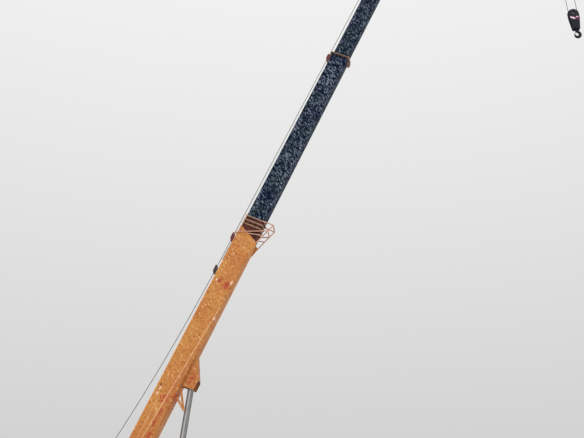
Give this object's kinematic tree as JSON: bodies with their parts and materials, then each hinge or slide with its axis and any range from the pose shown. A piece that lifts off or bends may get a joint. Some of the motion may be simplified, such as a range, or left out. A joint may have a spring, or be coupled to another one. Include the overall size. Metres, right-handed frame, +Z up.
{
  "type": "telescopic crane boom",
  "caption": "Raised telescopic crane boom with lift cylinder, hoist winch and rope, sheaved head and hanging hook block; held at its foot pivot.",
  "frame": {"origin": "centre of the boom-foot pivot bore", "axes": "+Z up, +X ahead in plan towards the boom's head, +Y along the foot pivot's axis"},
  "size_m": [18.0573, 0.712, 37.6591],
  "materials": {
    "block_black": "black paint, chipped",
    "boom_dark": "very dark blue-black paint with pale frost streaks",
    "boom_orange": "weathered orange-yellow paint with rust patches",
    "chrome_rod": "grey ground rod",
    "collar_brown": "orange-brown paint, dirty",
    "cylinder_paint": "orange-yellow paint",
    "drum_steel": "dull dark steel",
    "guard_orange": "orange-brown bars with pale upper edges",
    "guide_red": "dull red-brown paint",
    "hook_black": "black forging",
    "pin_steel": "dull steel",
    "rope": "greased grey wire rope",
    "sheave": "dull cast sheave",
    "shroud_brown": "dark brown paint with pale ribs",
    "wear_pad": "off-white nylon",
    "winch_paint": "dark grey paint"
  },
  "bodies": {
    "boom_base": {"base_boom": "boom_orange", "base_guard_frame": "guard_orange", "base_head_shroud": "shroud_brown", "base_head_pads": "wear_pad", "lift_bracket": "boom_orange", "lift_pin": "boom_orange", "underside_stay": "boom_orange", "winch_frame": "winch_paint", "hoist_rope_1": "rope", "base_guide_low": "winch_paint", "base_guide_high": "guide_red", "base_roller_low": "sheave", "base_roller_high": "sheave"},
    "boom_2": {"section_2": "boom_dark", "tail_pads_2": "wear_pad", "collar_2": "collar_brown", "head_pads_2": "wear_pad", "guide_2": "guide_red", "roller_2": "sheave", "hoist_rope_2": "rope"},
    "boom_3": {"section_3": "boom_dark", "tail_pads_3": "wear_pad", "collar_3": "collar_brown", "head_pads_3": "wear_pad", "guide_3": "guide_red", "roller_3": "sheave", "hoist_rope_3": "rope"},
    "boom_4": {"section_4": "boom_dark", "tail_pads_4": "wear_pad", "collar_4": "collar_brown", "head_pads_4": "wear_pad", "guide_4": "guide_red", "roller_4": "sheave", "hoist_rope_4": "rope"},
    "boom_5": {"section_5": "boom_dark", "tail_pads_5": "wear_pad", "head_frame": "boom_dark", "top_sheave_pin": "pin_steel", "nose_sheave_pin": "pin_steel", "head_rope": "rope", "wedge_socket": "pin_steel", "hoist_rope_5": "rope"},
    "top_wheel": {"top_sheave": "sheave"},
    "nose_wheel": {"nose_sheave": "sheave"},
    "drum": {"winch_drum": "drum_steel", "winch_coil": "rope"},
    "cylinder_rod": {"lift_rod": "chrome_rod"},
    "cylinder_barrel": {"lift_barrel": "cylinder_paint", "lift_gland": "cylinder_paint"},
    "hook_block": {"block_cheeks": "block_black", "block_weights": "block_black", "block_pin": "pin_steel", "block_rope": "rope", "crosshead": "hook_black", "live_fall": "rope", "dead_fall": "rope"},
    "block_wheel": {"block_sheave": "sheave"},
    "hook_swivel_body": {"hook": "hook_black"},
    "latch_body": {"latch": "pin_steel"}
  },
  "joints": [
    {"name": "tele_2", "type": "slide", "parent": "boom_base", "child": "boom_2", "axis": [0.4147, 0, 0.91], "range_m": [-6.95, 0], "deforming": ["hoist_rope_2"]},
    {"name": "tele_3", "type": "slide", "parent": "boom_2", "child": "boom_3", "axis": [0.4147, 0, 0.91], "range_m": [-6.3, 0], "deforming": ["hoist_rope_3"]},
    {"name": "tele_4", "type": "slide", "parent": "boom_3", "child": "boom_4", "axis": [0.4147, 0, 0.91], "range_m": [-6.3, 0], "deforming": ["hoist_rope_4"]},
    {"name": "tele_5", "type": "slide", "parent": "boom_4", "child": "boom_5", "axis": [0.4147, 0, 0.91], "range_m": [-6.3, 0], "deforming": ["hoist_rope_5"]},
    {"name": "lift_pivot", "type": "hinge", "parent": "boom_base", "child": "cylinder_rod", "pos_m": [2.61795, 0, 4.46651], "axis": [0, 1, 0], "range_deg": [-0.44, 16.9]},
    {"name": "lift_stroke", "type": "slide", "parent": "cylinder_rod", "child": "cylinder_barrel", "axis": [-0.1099, 0, -0.9939], "range_m": [-2.005, 0.45]},
    {"name": "drum_spin", "type": "hinge", "parent": "boom_base", "child": "drum", "pos_m": [-0.54136, 0, 0.74124], "axis": [0, 1, 0], "continuous": true},
    {"name": "top_sheave_spin", "type": "hinge", "parent": "boom_5", "child": "top_wheel", "pos_m": [16.40574, 0, 36.48139], "axis": [0, 1, 0], "continuous": true},
    {"name": "nose_sheave_spin", "type": "hinge", "parent": "boom_5", "child": "nose_wheel", "pos_m": [16.966, 0, 36.45684], "axis": [0, 1, 0], "continuous": true},
    {"name": "hoist", "type": "slide", "parent": "boom_5", "child": "hook_block", "axis": [0, 0, 1], "range_m": [-17, 15.4], "deforming": ["live_fall", "dead_fall"]},
    {"name": "block_sheave_spin", "type": "hinge", "parent": "hook_block", "child": "block_wheel", "pos_m": [16.981, 0, 18.74], "axis": [0, 1, 0], "continuous": true},
    {"name": "hook_swivel", "type": "hinge", "parent": "hook_block", "child": "hook_swivel_body", "pos_m": [16.981, 0, 17.73], "axis": [0, 0, 1], "continuous": true},
    {"name": "latch_hinge", "type": "hinge", "parent": "hook_swivel_body", "child": "latch_body", "pos_m": [16.925, 0, 17.87], "axis": [0, 1, 0], "range_deg": [-28, 0], "stiffness_Nm_per_rad": 0.5, "springref_deg": 85.94}
  ],
  "couplings": [
    {"joint": "tele_4", "follows": "tele_3", "ratio": 1},
    {"joint": "tele_5", "follows": "tele_3", "ratio": 1}
  ]
}
